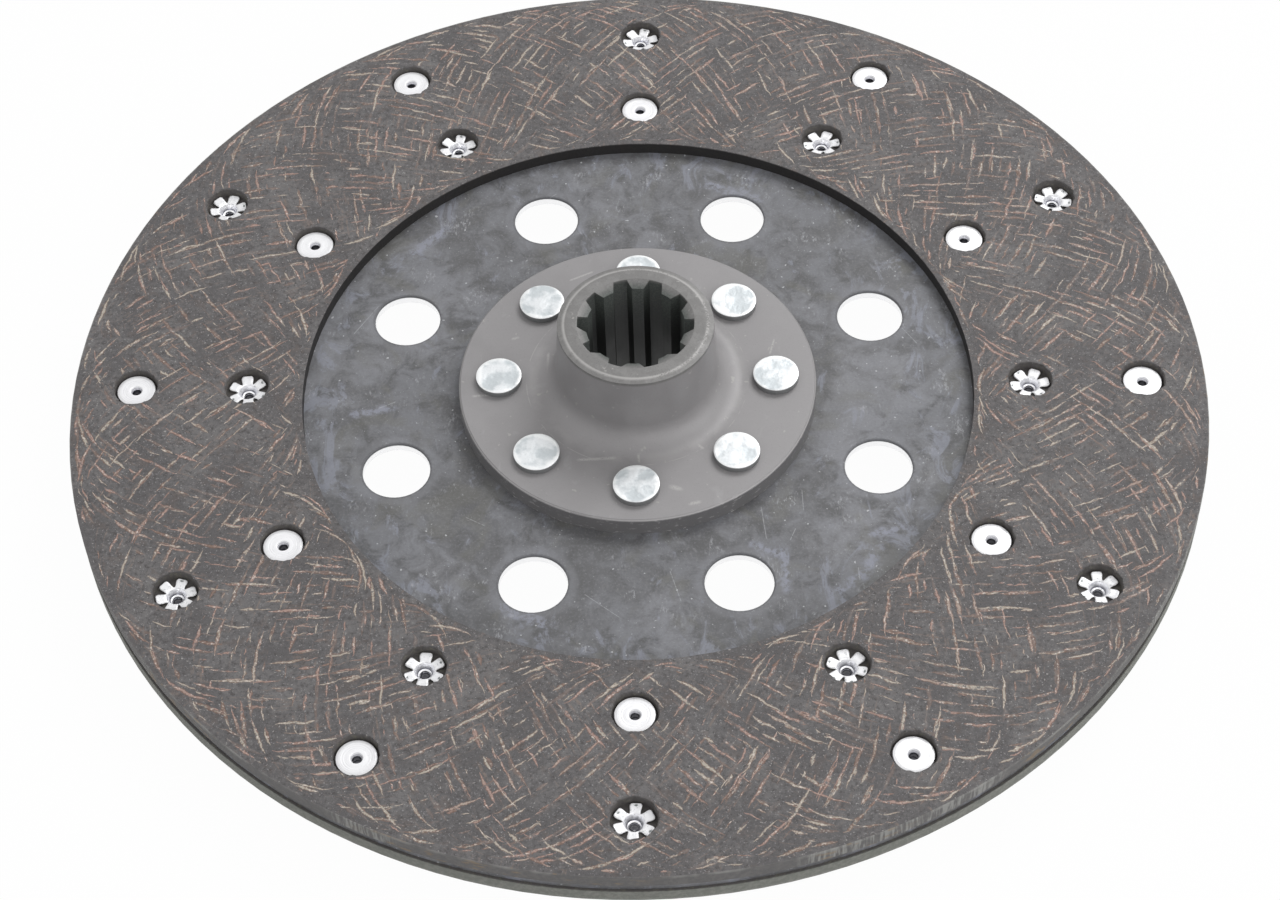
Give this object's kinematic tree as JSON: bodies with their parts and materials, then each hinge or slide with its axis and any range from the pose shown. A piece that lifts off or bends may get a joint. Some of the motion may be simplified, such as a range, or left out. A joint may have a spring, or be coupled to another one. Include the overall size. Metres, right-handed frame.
{
  "type": "clutch disc",
  "caption": "Rigid clutch disc with a splined hub riveted to a steel plate and a ring of woven friction lining riveted to each face.",
  "frame": {"origin": "on the axis of the splined bore, half way through the carrier plate", "axes": "+Z along the bore out of the flywheel side, where the hub's flange and barrel are; +X through a rivet of each circle"},
  "size_m": [0.28, 0.28, 0.04],
  "materials": {
    "hub_steel": "smooth turned steel, warm grey",
    "plate_steel": "dark phosphated sheet steel, cloudy",
    "lining": "woven friction lining, dark grey with copper-coloured yarn",
    "hub_rivet_steel": "zinc-plated steel, satin",
    "lining_rivet_steel": "bright plated steel"
  },
  "bodies": {
    "root": {"hub": "hub_steel", "carrier_plate": "plate_steel", "lining_flywheel_side": "lining", "lining_pressure_side": "lining", "hub_rivet_01": "hub_rivet_steel", "hub_rivet_02": "hub_rivet_steel", "hub_rivet_03": "hub_rivet_steel", "hub_rivet_04": "hub_rivet_steel", "hub_rivet_05": "hub_rivet_steel", "hub_rivet_06": "hub_rivet_steel", "hub_rivet_07": "hub_rivet_steel", "hub_rivet_08": "hub_rivet_steel", "outer_lining_rivet_01": "lining_rivet_steel", "outer_lining_rivet_02": "lining_rivet_steel", "outer_lining_rivet_03": "lining_rivet_steel", "outer_lining_rivet_04": "lining_rivet_steel", "outer_lining_rivet_05": "lining_rivet_steel", "outer_lining_rivet_06": "lining_rivet_steel", "outer_lining_rivet_07": "lining_rivet_steel", "outer_lining_rivet_08": "lining_rivet_steel", "outer_lining_rivet_09": "lining_rivet_steel", "outer_lining_rivet_10": "lining_rivet_steel", "outer_lining_rivet_11": "lining_rivet_steel", "outer_lining_rivet_12": "lining_rivet_steel", "inner_lining_rivet_01": "lining_rivet_steel", "inner_lining_rivet_02": "lining_rivet_steel", "inner_lining_rivet_03": "lining_rivet_steel", "inner_lining_rivet_04": "lining_rivet_steel", "inner_lining_rivet_05": "lining_rivet_steel", "inner_lining_rivet_06": "lining_rivet_steel", "inner_lining_rivet_07": "lining_rivet_steel", "inner_lining_rivet_08": "lining_rivet_steel", "inner_lining_rivet_09": "lining_rivet_steel", "inner_lining_rivet_10": "lining_rivet_steel", "inner_lining_rivet_11": "lining_rivet_steel", "inner_lining_rivet_12": "lining_rivet_steel"}
  },
  "joints": []
}
